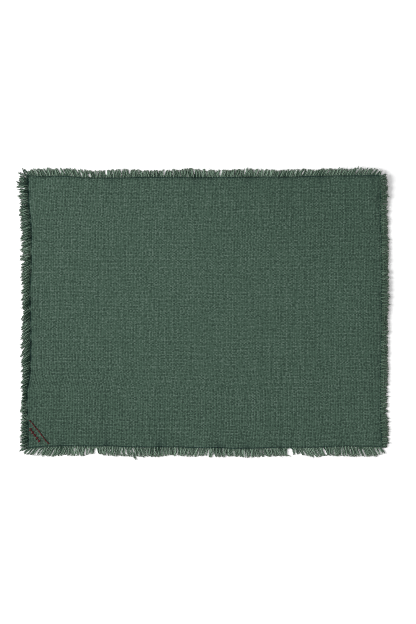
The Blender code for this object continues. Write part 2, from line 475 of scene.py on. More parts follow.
class Graph:
    """Short forms for wiring a node material."""

    def __init__(self, name):
        self.mat = bpy.data.materials.new(name)
        self.mat.use_nodes = True
        self.tree = self.mat.node_tree
        self.tree.nodes.clear()
        self.out = self.node("ShaderNodeOutputMaterial")
        self.shader = self.node("ShaderNodeBsdfPrincipled")
        self.tree.links.new(self.shader.outputs[0], self.out.inputs["Surface"])

    def node(self, kind, **settings):
        n = self.tree.nodes.new(kind)
        for key, value in settings.items():
            setattr(n, key, value)
        return n

    def put(self, socket, value):
        if isinstance(value, bpy.types.NodeSocket):
            self.tree.links.new(value, socket)
        else:
            socket.default_value = value

    def math(self, operation, *values, clamp=False):
        n = self.node("ShaderNodeMath", operation=operation, use_clamp=clamp)
        for socket, value in zip(n.inputs, values):
            self.put(socket, value)
        return n.outputs[0]

    def add(self, *values):
        total = values[0]
        for value in values[1:]:
            total = self.math("ADD", total, value)
        return total

    def times(self, *values):
        total = values[0]
        for value in values[1:]:
            total = self.math("MULTIPLY", total, value)
        return total

    def minus(self, a, b):
        return self.math("SUBTRACT", a, b)

    def ramp(self, value, low, high, to_low=0.0, to_high=1.0):
        n = self.node("ShaderNodeMapRange", interpolation_type="SMOOTHSTEP")
        for key, x in zip((0, 1, 2, 3, 4), (value, low, high, to_low, to_high)):
            self.put(n.inputs[key], x)
        return n.outputs[0]

    def uv(self, name):
        n = self.node("ShaderNodeUVMap", uv_map=name)
        split = self.node("ShaderNodeSeparateXYZ")
        self.put(split.inputs[0], n.outputs[0])
        return split.outputs[0], split.outputs[1]

    def value(self, name):
        return self.node("ShaderNodeAttribute", attribute_name=name).outputs["Fac"]

    def vector(self, x=0.0, y=0.0, z=0.0):
        n = self.node("ShaderNodeCombineXYZ")
        for socket, value in zip(n.inputs, (x, y, z)):
            self.put(socket, value)
        return n.outputs[0]

    def noise(self, vector, scale, detail=2.0, rough=0.5):
        """Noise about zero, from roughly -1 to 1."""
        n = self.node("ShaderNodeTexNoise", noise_dimensions="3D")
        self.put(n.inputs["Vector"], vector)
        n.inputs["Scale"].default_value = scale
        n.inputs["Detail"].default_value = detail
        n.inputs["Roughness"].default_value = rough
        return self.math("MULTIPLY_ADD", n.outputs[0], 4.0, -2.0)

    def chance(self, value):
        """A random number from 0 to 1 for each whole number."""
        n = self.node("ShaderNodeTexWhiteNoise", noise_dimensions="1D")
        self.put(n.inputs["W"], value)
        return n.outputs["Value"]

    def where(self, scale=1.0):
        """Place on the mat in mm times scale."""
        n = self.node("ShaderNodeTexCoord")
        s = self.node("ShaderNodeVectorMath", operation="SCALE")
        self.put(s.inputs[0], n.outputs["Object"])
        s.inputs["Scale"].default_value = 1000.0 * scale
        return s.outputs[0]

    def blend(self, fac, a, b):
        n = self.node("ShaderNodeMix", data_type="RGBA", clamp_factor=True)
        self.put(n.inputs[0], fac)
        for socket, value in zip((n.inputs[6], n.inputs[7]), (a, b)):
            if isinstance(value, tuple):
                value = (*value, 1.0)
            self.put(socket, value)
        return n.outputs[2]

    def finish(self, colour, height=None, distance=MM, roughness=0.9, strength=1.0):
        self.put(self.shader.inputs["Base Color"], colour)
        self.put(self.shader.inputs["Roughness"], roughness)
        if height is not None:
            bump = self.node("ShaderNodeBump")
            bump.inputs["Strength"].default_value = strength
            bump.inputs["Distance"].default_value = distance
            self.put(bump.inputs["Height"], height)
            self.put(self.shader.inputs["Normal"], bump.outputs[0])
        return self.mat


YARN_DARK = (0.0180, 0.0410, 0.0275)   # the darkest dye, and painted shade deep between the yarns
YARN_MID = (0.0396, 0.0780, 0.0538)
YARN_PALE = (0.0800, 0.1250, 0.0980)   # the palest fuzz, and painted highlight on the yarns' crests


CROSSING_CONTRAST = 0.105  # how much paler the yarns along Y are painted where they lie on top: painted light, for the low light from the left on their flanks


def weave_material():
    """Plain weave: the UV map "weave" counts yarns, along X and along Y."""
    g = Graph("woven_cotton")
    u, v = g.uv("weave")
    iu, iv = g.math("FLOOR", u), g.math("FLOOR", v)
    fu, fv = (g.minus(g.math("FRACT", t), 0.5) for t in (u, v))
    parity = g.math("MODULO", g.add(iu, iv), 2.0)
    sign = g.math("MULTIPLY_ADD", parity, -2.0, 1.0)

    def crown(f):
        q = g.math("DIVIDE", f, 0.545)
        return g.math("SQRT", g.math("SUBTRACT", 1.0, g.times(q, q), clamp=True))

    wave_end = g.times(sign, g.math("COSINE", g.times(fv, math.pi)))
    wave_pick = g.times(sign, g.math("COSINE", g.times(fu, math.pi)), -1.0)
    z_end = g.add(g.times(wave_end, 0.30), g.times(crown(fu), 0.34))
    z_pick = g.add(g.times(wave_pick, 0.28), g.times(crown(fv), 0.34))
    height = g.math("SMOOTH_MAX", z_end, z_pick, 0.05)
    end_on_top = g.ramp(g.minus(z_end, z_pick), -0.04, 0.04)

    # Fibres: fine lines that run at a slant round each yarn.
    place = g.where()
    spin_end = g.noise(g.vector(g.times(u, 9.0), g.add(g.times(v, 1.6), g.times(fu, 5.0))), 1.0, 3.0, 0.6)
    spin_pick = g.noise(g.vector(g.add(g.times(u, 1.6), g.times(fv, 5.0)), g.times(v, 9.0), 7.0), 1.0, 3.0, 0.6)
    fibre = g.node("ShaderNodeMix", data_type="FLOAT")
    g.put(fibre.inputs[0], end_on_top)
    g.put(fibre.inputs[2], spin_pick)
    g.put(fibre.inputs[3], spin_end)
    fibre = fibre.outputs[0]

    # Each yarn took the dye a little differently, and changes along its run; the tones also carry the painted
    # light, paler in the middle and at the upper left.
    tone = g.node("ShaderNodeMix", data_type="FLOAT")
    g.put(tone.inputs[0], end_on_top)
    g.put(tone.inputs[2], g.value("pick_tone_and_light"))
    g.put(tone.inputs[3], g.value("end_tone_and_light"))
    tone = tone.outputs[0]
    mottle = g.noise(place, 0.10, 2.0)

    # Painted light: the crests a little paler, and the yarns along Y paler where they lie on top, for the low
    # light from the left.
    light = g.add(
        0.50,
        tone,
        g.times(g.minus(end_on_top, 0.5), CROSSING_CONTRAST),
        g.times(fibre, 0.26),
        g.times(mottle, 0.07),
        g.times(g.value("slub"), 0.40),
        g.times(g.value("shade"), 0.32),
        g.ramp(height, 0.36, 0.64, -0.08, 0.08),
    )
    colour = g.blend(g.ramp(light, 0.0, 0.5), YARN_DARK, YARN_MID)
    colour = g.blend(g.ramp(light, 0.5, 1.15), colour, YARN_PALE)
    # Little light gets down between the yarns, or into the stitched groove.
    hollow = g.ramp(height, 0.08, 0.44, 0.50, 0.0)
    colour = g.blend(hollow, colour, (0.010, 0.026, 0.018))
    colour = g.blend(g.times(g.value("seam"), 0.80), colour, (0.004, 0.020, 0.015))

    relief = g.add(g.times(height, 0.80), g.times(fibre, 0.030))
    g.shader.inputs["Specular IOR Level"].default_value = 0.25
    g.shader.inputs["Sheen Weight"].default_value = 0.12
    g.shader.inputs["Sheen Roughness"].default_value = 0.5
    return g.finish(colour, relief, roughness=g.ramp(height, 0.1, 0.6, 0.97, 0.86))


def yarn_material(name, dark, mid, pale, twist, fuzz):
    """Loose yarn or thread: the UV map "yarn" runs round it and along it."""
    g = Graph(name)
    round_, run = g.uv("yarn")
    turn = g.add(g.times(run, twist), round_)
    # The pattern closes on itself round the tube.
    angle = g.times(round_, 2 * math.pi)
    fibre = g.noise(
        g.vector(
            g.times(g.math("COSINE", angle), 1.3),
            g.times(g.math("SINE", angle), 1.3),
            g.add(g.times(run, 0.55), g.times(g.value("tint"), 31.0)),
        ),
        1.6,
        3.0,
        0.65,
    )
    lay = g.math("SINE", g.times(turn, 2 * math.pi * 2))
    light = g.add(
        0.5,
        g.times(g.value("tint"), 0.30),
        g.times(fibre, fuzz),
        g.times(lay, 0.07),
        g.times(g.value("along"), 0.12),
    )
    colour = g.blend(g.ramp(light, 0.0, 0.5), dark, mid)
    colour = g.blend(g.ramp(light, 0.5, 1.1), colour, pale)
    colour = g.blend(g.ramp(light, 1.1, 1.7), colour, tuple(1.6 * c for c in pale))
    # Painted light: the tips are paler and more olive, for light that comes through their loose fibres. Painted
    # shade: the yarns are dark where they are pressed together.
    colour = g.blend(g.ramp(g.value("along"), 0.60, 1.0, 0.0, 0.40), colour, (0.125, 0.150, 0.104))
    colour = g.blend(g.value("painted_shade"), colour, (0.003, 0.019, 0.011))
    g.shader.inputs["Specular IOR Level"].default_value = 0.15
    g.shader.inputs["Sheen Weight"].default_value = 0.04
    g.shader.inputs["Sheen Roughness"].default_value = 0.5
    relief = g.add(g.times(lay, 0.02), g.times(fibre, 0.03))
    return g.finish(colour, relief, roughness=g.ramp(fibre, -1.0, 1.0, 0.96, 0.84))


# --------------------------------------------------------------------- cloth

ENDS = 215    # yarns that run along Y, about 2.0 mm apart
PICKS = 198   # yarns that run along X, about 1.7 mm apart
# The cross yarns come from several cones in turn: how pale and thick each of
# ten is, over and over.
CONES = (-0.2, 1.0, -1.0, 1.0, -0.1, -0.4, -0.9, 0.9, 0.7, -1.0)

rng = np.random.default_rng(2024)


def yarn_lines(widths):
    """Middles of the yarns and the lines between them, from 0 to 1."""
    lines = np.concatenate([[0.0], np.cumsum(widths)]) / widths.sum()
    return (lines[1:] + lines[:-1]) / 2, lines


def contrasting(values):
    """Makes each row differ from the rows beside it, by about as much as before."""
    beside = np.pad(values, ((1, 1), (0, 0)), mode="wrap")
    return (values - 0.5 * (beside[:-2] + beside[2:])) / 1.22


CONE_AT = np.array(CONES)[np.arange(PICKS) % len(CONES)]
END_AT, END_LINES = yarn_lines(1 + 0.08 * rng.standard_normal(ENDS))
PICK_AT, PICK_LINES = yarn_lines(1 + 0.19 * CONE_AT + 0.04 * rng.standard_normal(PICKS))
# How thick each yarn is at each crossing, about 1.
END_THICK = (
    1
    + 0.06 * contrasting(rng.standard_normal((ENDS, 1)))
    + 0.07 * wander(rng, ENDS, PICKS, 9)
    + 0.45 * slubs(rng, ENDS, PICKS, 0.0012, 6)
)
PICK_THICK = (
    1
    + 0.10 * CONE_AT[:, None]
    + 0.04 * contrasting(rng.standard_normal((PICKS, 1)))
    + 0.06 * contrasting(wander(rng, PICKS, ENDS, 8))
    + 0.50 * slubs(rng, PICKS, ENDS, 0.0012, 6)
)
# How pale each yarn is along its run.
END_TONE = (
    0.12 * contrasting(rng.standard_normal((ENDS, 1)))
    + 0.17 * contrasting(wander(rng, ENDS, PICKS, 7))
    + 0.09 * wander(rng, ENDS, PICKS, 15)
)
PICK_TONE = (
    0.18 * CONE_AT[:, None]
    + 0.05 * contrasting(rng.standard_normal((PICKS, 1)))
    + 0.15 * contrasting(wander(rng, PICKS, ENDS, 8))
)


def painted_light_at(x, y):
    """Painted light: the cloth is a little paler in the middle and at the upper left, where more light falls.
    """
    s, t = x / 217.0, y / 166.0
    even = 0.034 - 0.073 * s * s - 0.062 * t * t - 0.03 * t**4
    return even - 0.029 * s + 0.025 * t - 0.085 * s * t


# How the stitching draws the cloth in at each side: how deep and how wide the
# groove is, how much painted shade it gets, and how much painted shade the places get where it pulls.
GROOVES = {
    "left": (0.80, 1.30, 1.25, 0.45),
    "right": (0.45, 1.35, 0.72, 0.30),
    "bottom": (0.55, 0.95, 0.85, 0.80),
    "top": (0.55, 0.95, 0.95, 0.75),
}
HEM_WAVE = 68.0  # mm from wave to wave along the upper and lower edges


def distances(x, y, u, v):
    """How far a place on the cloth is in from each edge."""
    left, right, bottom, top = sides_at(u, v)
    return {"left": x - left, "right": right - x, "bottom": y - bottom, "top": top - y}


def inner_distance(x, y, u, v):
    return np.min(list(distances(x, y, u, v).values()), axis=0)


def puckers(x, y, depth):
    """Small waves where the stitching holds the cloth."""
    wave = (
        np.sin(x / 3.9 + 1.3 * np.sin(y / 31)) * np.sin(x / 17 + 2)
        + np.sin(y / 3.4 + 1.1 * np.sin(x / 23)) * np.sin(y / 13 + 1)
    )
    return 0.16 * wave * np.exp(-depth / 7.0)


def hem_waves(x, away):
    """Wide low waves along the upper and lower edges."""
    turn = 2 * math.pi * (x + 114.0) / HEM_WAVE
    low = 0.50 * np.exp(-away["bottom"] / 26.0) * (0.5 - 0.5 * np.cos(turn / 2 + 0.4))
    return (
        0.20 * np.exp(-away["bottom"] / 24.0) * np.sin(turn + math.pi)
        + 0.15 * np.exp(-away["top"] / 20.0) * np.sin(turn * 1.07 + 1.0)
        + 0.20 * low
    )


# Where the stitches pull hardest. Each place sinks, gets painted shade and sends a soft
# crease into the cloth.
PULLS = {
    # along the side, how hard, half its length, how far its crease runs in
    "left": (
        (160.0, 0.6, 5.0, 6.0),
        (145.0, 0.8, 4.0, 8.0),
        (120.0, 0.5, 3.0, 6.0),
        (91.0, 0.5, 3.5, 6.0),
        (68.0, 0.5, 3.0, 6.0),
        (43.5, 0.5, 3.5, 6.0),
        (30.0, 0.5, 3.0, 6.0),
        (14.0, 0.9, 5.0, 22.0),
        (-2.0, 0.5, 3.0, 7.0),
        (-22.0, 0.6, 3.5, 10.0),
        (-40.0, 0.7, 5.0, 7.0),
        (-56.0, 0.8, 5.0, 7.0),
        (-72.0, 0.7, 5.0, 7.0),
        (-88.0, 0.8, 5.0, 7.0),
        (-104.0, 0.7, 5.0, 7.0),
        (-121.0, 0.6, 4.0, 7.0),
        (-136.0, 0.5, 4.0, 6.0),
        (-155.0, 0.5, 4.0, 6.0),
    ),
    "right": (
        (142.0, 0.7, 5.0, 6.0),
        (105.0, 0.5, 4.0, 6.0),
        (64.0, 0.4, 3.0, 6.0),
        (24.0, 0.6, 4.0, 6.0),
        (7.0, 0.5, 3.0, 6.0),
        (-30.0, 0.4, 4.0, 6.0),
        (-59.0, 0.5, 4.0, 6.0),
        (-77.0, 0.7, 4.0, 6.0),
        (-116.0, 0.5, 4.0, 6.0),
        (-153.0, 0.6, 6.0, 6.0),
    ),
    "bottom": (
        (-174.0, 0.5, 5.0, 20.0),
        (-119.0, 0.9, 5.0, 30.0),
        (-53.5, 1.0, 5.5, 34.0),
        (-29.0, 0.5, 5.0, 16.0),
        (19.0, 0.8, 6.0, 32.0),
        (53.5, 0.7, 6.0, 28.0),
        (95.0, 0.4, 6.0, 32.0),
    ),
    "top": (
        (-114.0, 0.5, 6.0, 14.0),
        (-76.0, 0.4, 6.0, 8.0),
        (-55.0, 0.4, 5.0, 8.0),
        (-9.0, 0.7, 5.0, 8.0),
        (9.0, 0.5, 5.0, 12.0),
        (54.0, 0.6, 6.0, 24.0),
        (67.0, 0.4, 5.0, 16.0),
        (101.0, 0.7, 5.0, 20.0),
        (116.0, 0.3, 4.0, 24.0),
        (146.0, 0.7, 5.0, 12.0),
        (176.0, 0.3, 6.0, 20.0),
        (206.0, 0.6, 5.0, 8.0),
    ),
}
# How hard they pull elsewhere, its swing, and every how many mm it turns.
PULL = {
    "left": (0.44, 0.42, 4.0),
    "right": (0.38, 0.30, 3.0),
    "bottom": (0.78, 0.16, 3.4),
    "top": (0.72, 0.18, 3.4),
}
PULL_AT = {
    side: mean + swing * wander(np.random.default_rng(seed), 1, 480, step)[0]
    for seed, (side, (mean, swing, step)) in enumerate(PULL.items(), 70)
}


def pull(side, along):
    """How hard the stitches pull at a place along a side, about 1."""
    hard = np.interp(along, np.arange(480) - 240.0, PULL_AT[side])
    for at, more, half, _ in PULLS[side]:
        hard = hard + more * np.exp(-(((along - at) / half) ** 2))
    return np.clip(hard, 0.05, 1.7)


def creases(side, along, away):
    """Soft troughs that run in from the places where the stitches pull hardest,
    and the painted shade on them, mostly by the stitches."""
    deep, dark = np.zeros_like(away), np.zeros_like(away)
    for at, more, half, run in PULLS[side]:
        width = 1.15 * half + 0.10 * away
        across = np.exp(-(((along - at) / width) ** 2))
        fall = np.exp(-np.maximum(away, 0) / run)
        deep = deep + more * across * fall
        close = np.exp(-((away / 6.5) ** 2)) * np.exp(-(((along - at) / half) ** 2))
        dark = dark + more * (0.20 * across * fall + GROOVES[side][3] * close)
    return deep, dark


def surface(x, y, u, v):
    """Top of the cloth without its weave, the painted shade in the stitched groove and its creases, and how
    near the seam it is.
    """
    away = distances(x, y, u, v)
    depth = np.min(list(away.values()), axis=0)
    groove, dark, troughs, shadows = (np.zeros_like(depth) for _ in range(4))
    for side, (deep, reach, look, _) in GROOVES.items():
        near = np.exp(-(((away[side] - SEAM_ALLOWANCE) / reach) ** 2))
        along = y if side in ("left", "right") else x
        hard = pull(side, along)
        groove = np.maximum(groove, deep * near * (0.5 + 0.5 * hard))
        # Painted shade in the stitched groove, darker where the stitches pull.
        dark = np.maximum(dark, look * near * hard)
        trough, shadow = creases(side, along, away[side])
        troughs = np.maximum(troughs, trough)
        shadows = np.maximum(shadows, shadow)
    z = lift(x, y) + CLOTH_THICK + puckers(x, y, depth) + hem_waves(x, away)
    return z - groove - 0.55 * troughs, np.maximum(dark, shadows), depth


def make_cloth(mat):
    # Crossings, with the cloth's edges as the outermost lines.
    u = np.concatenate([[0.0], END_AT, [1.0]])
    v = np.concatenate([[0.0], PICK_AT, [1.0]])
    nu, nv = len(u), len(v)
    count_u = np.concatenate([[0.0], np.arange(ENDS) + 0.5, [ENDS]])
    count_v = np.concatenate([[0.0], np.arange(PICKS) + 0.5, [PICKS]])
    U, V = np.meshgrid(u, v)
    X, Y = cloth_point(U, V)
    # Yarns run a little crooked, less so near the edges.
    calm = ease(inner_distance(X, Y, U, V) / 12.0)
    X += calm * (0.08 * wander(rng, nu, nv, 4).T + 0.45 * wander(rng, 1, nv, 30).T)
    Y += calm * (0.07 * wander(rng, nv, nu, 5) + 0.50 * wander(rng, 1, nu, 24))
    Z, near, depth = surface(X, Y, U, V)
    end = np.pad(END_THICK.T, 1, mode="edge")
    pick = np.pad(PICK_THICK, 1, mode="edge")
    I, J = np.meshgrid(np.arange(nu), np.arange(nv))
    over = (I + J) % 2 == 0
    thick = np.where(over, end, pick)
    rough = rng.standard_normal((nv, nu))
    relief = 0.34 * (thick - 1) + 0.025 * np.clip(rough, -2, 2) - 0.05 * ~over
    edge = (I == 0) | (J == 0) | (I == nu - 1) | (J == nv - 1)
    relief = np.where(edge, -0.22 + 0.05 * rough, relief)
    Z = Z + relief
    slub = np.where(edge, 0.0, thick - 1)
    # Painted light, carried in both yarns' tones.
    painted_light = painted_light_at(X, Y)
    end_tone_and_light = np.pad(END_TONE.T, 1, mode="edge") + painted_light
    pick_tone_and_light = np.pad(PICK_TONE, 1, mode="edge") + painted_light
    # Each crossing catches the light in its own way, mostly unlike its neighbours.
    shade = rng.standard_normal((nv, nu))
    beside = sum(np.roll(shade, step, axis) for step in (-1, 1) for axis in (0, 1))
    shade = np.clip(shade - 0.20 * beside, -2.2, 2.2)

    # The hollows between four crossings.
    mu, mv = END_LINES.copy(), PICK_LINES.copy()
    mu[0], mu[-1] = u[1] / 2, (1 + u[-2]) / 2
    mv[0], mv[-1] = v[1] / 2, (1 + v[-2]) / 2
    MU, MV = np.meshgrid(mu, mv)
    cu = np.arange(ENDS + 1.0)
    cv = np.arange(PICKS + 1.0)
    cu[0], cu[-1] = 0.25, ENDS - 0.25
    cv[0], cv[-1] = 0.25, PICKS - 0.25

    def around(g):
        return (g[:-1, :-1] + g[1:, :-1] + g[:-1, 1:] + g[1:, 1:]) / 4

    MX, MY = around(X), around(Y)
    MZ, mnear, _ = surface(MX, MY, MU, MV)
    full = around(np.where(edge, 1.0, thick))
    medge = np.zeros(MX.shape, bool)
    medge[[0, -1], :] = medge[:, [0, -1]] = True
    mrough = np.clip(rng.standard_normal(MX.shape), -2, 2)
    MZ = MZ + np.where(medge, -0.12, -0.34 + 0.30 * (full - 1) + 0.04 * mrough)

    def pack(*arrays):
        return np.stack([a.ravel() for a in arrays], axis=-1)

    crossings = pack(X, Y, Z)
    hollows = pack(MX, MY, MZ)
    n_cross, n_hollow = len(crossings), len(hollows)
    j, i = np.meshgrid(np.arange(nv - 1), np.arange(nu - 1), indexing="ij")
    a = j * nu + i
    b, c, d = a + 1, a + nu + 1, a + nu
    m = n_cross + j * (nu - 1) + i
    top = np.stack([a, b, m, b, c, m, c, d, m, d, a, m], axis=-1).reshape(-1, 3)

    # The rim, then the underside, which needs fewer faces.
    ring = np.concatenate(
        [
            np.arange(nu),
            np.arange(1, nv) * nu + nu - 1,
            (nv - 1) * nu + np.arange(nu - 2, -1, -1),
            np.arange(nv - 2, 0, -1) * nu,
        ]
    )
    R = len(ring)
    rx, ry = X.ravel()[ring], Y.ravel()[ring]
    ru, rv = U.ravel()[ring], V.ravel()[ring]
    low = pack(
        rx + 0.12 * np.sign(0.5 - ru) * (np.abs(ru - 0.5) > 0.4999),
        ry + 0.12 * np.sign(0.5 - rv) * (np.abs(rv - 0.5) > 0.4999),
        lift(rx, ry) + 0.30,
    )
    base = n_cross + n_hollow
    k = np.arange(R)
    nxt = (k + 1) % R
    rim = np.concatenate(
        [
            np.stack([ring[k], base + k, base + nxt], axis=-1),
            np.stack([ring[k], base + nxt, ring[nxt]], axis=-1),
        ]
    )
    gu = np.concatenate([[0.0078], np.linspace(0.027, 0.973, 42), [0.9922]])
    gv = np.concatenate([[0.0100], np.linspace(0.035, 0.965, 32), [0.9900]])
    GU, GV = np.meshgrid(gu, gv)
    GX, GY = cloth_point(GU, GV)
    under = pack(GX, GY, lift(GX, GY))
    base2 = base + R
    gn, gm = len(gu), len(gv)
    j, i = np.meshgrid(np.arange(gm - 1), np.arange(gn - 1), indexing="ij")
    a = base2 + j * gn + i
    b, c, d = a + 1, a + gn + 1, a + gn
    floor = np.stack([a, c, b, a, d, c], axis=-1).reshape(-1, 3)
    inner = np.concatenate(
        [
            np.arange(gn),
            np.arange(1, gm) * gn + gn - 1,
            (gm - 1) * gn + np.arange(gn - 2, -1, -1),
            np.arange(gm - 2, 0, -1) * gn,
        ]
    )

    def lap(uu, vv, u_lo, v_lo):
        """How far round the edge a point is, from 0 to 4."""
        s, t = (uu - u_lo) / (1 - 2 * u_lo), (vv - v_lo) / (1 - 2 * v_lo)
        out = np.where(t < 1e-6, s, 0.0)
        out = np.where(s > 1 - 1e-6, 1 + t, out)
        out = np.where((t > 1 - 1e-6) & (s < 1 - 1e-6), 2 + (1 - s), out)
        return np.where((s < 1e-6) & (t > 1e-6) & (t < 1 - 1e-6), 3 + (1 - t), out)

    q_out = np.append(lap(ru, rv, 0.0, 0.0), 4.0)
    q_in = np.append(lap(GU.ravel()[inner], GV.ravel()[inner], gu[0], gv[0]), 4.0)
    q_out[0] = q_in[0] = 0.0
    S = len(inner)
    zip_tris, p, q = [], 0, 0
    while p < R or q < S:
        if q >= S or (p < R and q_out[p + 1] <= q_in[q + 1]):
            zip_tris.append((base + p, base2 + inner[q % S], base + (p + 1) % R))
            p += 1
        else:
            zip_tris.append((base + p % R, base2 + inner[q], base2 + inner[(q + 1) % S]))
            q += 1
    verts = np.concatenate([crossings, hollows, low, under])
    skirt = np.array(zip_tris)
    e1 = verts[skirt[:, 1]] - verts[skirt[:, 0]]
    e2 = verts[skirt[:, 2]] - verts[skirt[:, 0]]
    wrong = np.cross(e1, e2)[:, 2] > 0
    skirt[wrong] = skirt[wrong][:, ::-1]
    tris = np.concatenate([top, rim, floor, skirt])

    counts = np.concatenate(
        [
            pack(*np.meshgrid(count_u, count_v)),
            pack(*np.meshgrid(cu, cv)),
            pack(np.interp(ru, u, count_u), np.interp(rv, v, count_v)),
            pack(np.interp(GU, u, count_u), np.interp(GV, v, count_v)),
        ]
    )
    # The bake layout: the top in one piece, the underside beside it.
    plan = np.stack(
        [(verts[:, 0] + 222) / 446 * 0.98 + 0.01, (verts[:, 1] + 170) / 446 + 0.01],
        axis=-1,
    )
    plan[:, 1] *= 0.62
    is_top = np.zeros(len(tris), bool)
    is_top[: len(top) + len(rim)] = True
    bake = plan[tris]
    bake[~is_top, :, 1] = bake[~is_top, :, 1] * 0.7 + 0.55
    bake[~is_top, :, 0] *= 0.7
    zeros = np.zeros(R + len(under))
    # The rim gets painted shade as well.
    seam_low = np.concatenate([np.full(R, 0.7), np.zeros(len(under))])
    return build(
        "cloth_weave",
        [
            {
                "verts": verts,
                "tris": tris,
                "uv": {"weave": counts[tris], "OFBake": bake},
                "values": {
                    "slub": np.concatenate([slub.ravel(), (full - 1).ravel(), zeros]),
                    "shade": np.concatenate([shade.ravel(), mrough.ravel(), zeros]),
                    "seam": np.concatenate([near.ravel(), mnear.ravel(), seam_low]),
                    "end_tone_and_light": np.concatenate(
                        [end_tone_and_light.ravel(), around(end_tone_and_light).ravel(), zeros]
                    ),
                    "pick_tone_and_light": np.concatenate(
                        [pick_tone_and_light.ravel(), around(pick_tone_and_light).ravel(), zeros]
                    ),
                },
            }
        ],
        mat,
    )


# -------------------------------------------------------------------- fringe

# Twisted together in each yarn, how many points each has along its run, how much
# they differ, and by how much of its length one is shorter.
THREADS = {
    "left": (4, 13, 0.18, 0.08),
    "right": (4, 11, 0.10, 0.10),
    "top": (5, 9, 0.36, 0.10),
    "bottom": (5, 9, 0.42, 0.05),
}
# More of its threads, which have come loose and lie flatter.
UNDER = {"left": 5, "right": 5, "top": 4, "bottom": 4}


def edge_at(side, s):
    """A place on the cloth's edge: how far along it, and the edge itself."""
    if side in ("left", "right"):
        x, y = cloth_point(0.0 if side == "left" else 1.0, s)
        return y, x
    x, y = cloth_point(s, 0.0 if side == "bottom" else 1.0)
    return x, y


def place(side, along, edge, out, z):
    """Puts a point that is out from the edge into the mat's own axes."""
    away = edge + (out if side in ("right", "top") else -out)
    if side in ("left", "right"):
        return np.stack([away, along, z], axis=-1)
    return np.stack([along, away, z], axis=-1)


def part_strands(side, along, out):
    """Moves the yarns apart at each gap. along and out are (strands, points)."""
    for middle, half, opens, closes, slant in GAPS[side]:
        centre = middle + slant * (out - 5.0)
        open_ = half * ease((out - opens) / 1.6) * (1 - ease((out - closes) / 1.6))
        reach = 2.0 * half + 3.0
        from_centre = along - centre
        way = np.where(from_centre[:, 2:3] >= 0, 1.0, -1.0)
        away = np.maximum(way * from_centre, 0.0)
        moved = centre + way * (open_ + away * (reach - open_) / reach)
        along = np.where((away < reach) & (open_ > 1e-3), moved, along)
    return along


# Each side's yarns: the radius of their threads, how far the threads spread,
# how far the yarns stand up by the stitching, how loose they are, how ragged
# their tips, how they sway, how much crimp they have kept from the weave, how much
# paler they and their loose threads are painted than the cloth (painted light that
# differs from side to side with the light, the loose ones darker as painted shade),
# how much they differ (the higher yarns painted paler, the lower ones painted
# darker) and change along the edge, how much painted shade they get by the
# stitching, how far that reaches, and how much painted shade they get in the
# troughs of their crimp and where they lie low between their neighbours.
LOOK = {
    "left": (0.31, 0.32, 1.20, 0.50, 1.10, 0.45, 0.20, 0.90, -0.60, 0.30, 0.12, 0.48, 8.0, 0.26, 0.22),
    "right": (0.31, 0.34, 0.40, 0.38, 0.50, 0.40, 0.22, 0.68, -0.10, 0.08, 0.00, 0.20, 4.0, 0.08, 0.04),
    "top": (0.29, 0.34, 0.45, 0.70, 0.60, 0.60, 0.24, 1.62, 0.55, 0.45, 0.32, 0.20, 3.5, 0.12, 0.14),
    "bottom": (0.29, 0.36, 0.30, 0.80, 0.40, 0.42, 0.32, 1.70, 0.90, 0.55, 0.35, 0.15, 3.5, 0.12, 0.08),
}


# How much further the single yarn ends reach than the comb of solids.
FURTHER = {"left": -0.35, "right": 0.25, "top": 0.25, "bottom": 1.3}


# Pieces of the outermost lengthwise yarn, still caught in the right fringe: from
# where to where along the edge, and how far out from the stitching.
CAUGHT = (
    (141.0, 127.0, 3.6),
    (124.0, 92.0, 3.9),
    (72.0, 38.0, 3.4),
    (6.0, -21.0, 4.2),
    (-38.0, -52.0, 3.8),
    (-70.0, -98.0, 4.0),
)


def loose_yarn(r):
    paths = []
    for start, end, out in CAUGHT:
        y = np.linspace(start, end, 33)
        x = STITCH["right"](y) + out + 0.45 * wander(r, 1, 33, 6)[0]
        z = 1.30 + 0.35 * wander(r, 1, 33, 5)[0] + lift(x, y) * (1 - 0.6 * TIP_DROOP)
        for side in (-1, 1):
            turn = side * math.pi / 2 + 2 * math.pi * (y - start) / 5.0
            paths.append(np.stack([x + 0.22 * np.cos(turn), y, z + 0.22 * np.sin(turn)], axis=-1))
    paths = np.array(paths)
    n = len(paths)
    fat = 0.25 * (1 + 0.12 * wander(r, n, 33, 3))
    fat[:, [0, -1]] *= 0.5
    tint = 0.55 + 0.25 * r.standard_normal(n)
    return tubes(paths, fat, 5, {"tint": tint, "along": 0.7 + 0 * tint, "painted_shade": 0 * tint})


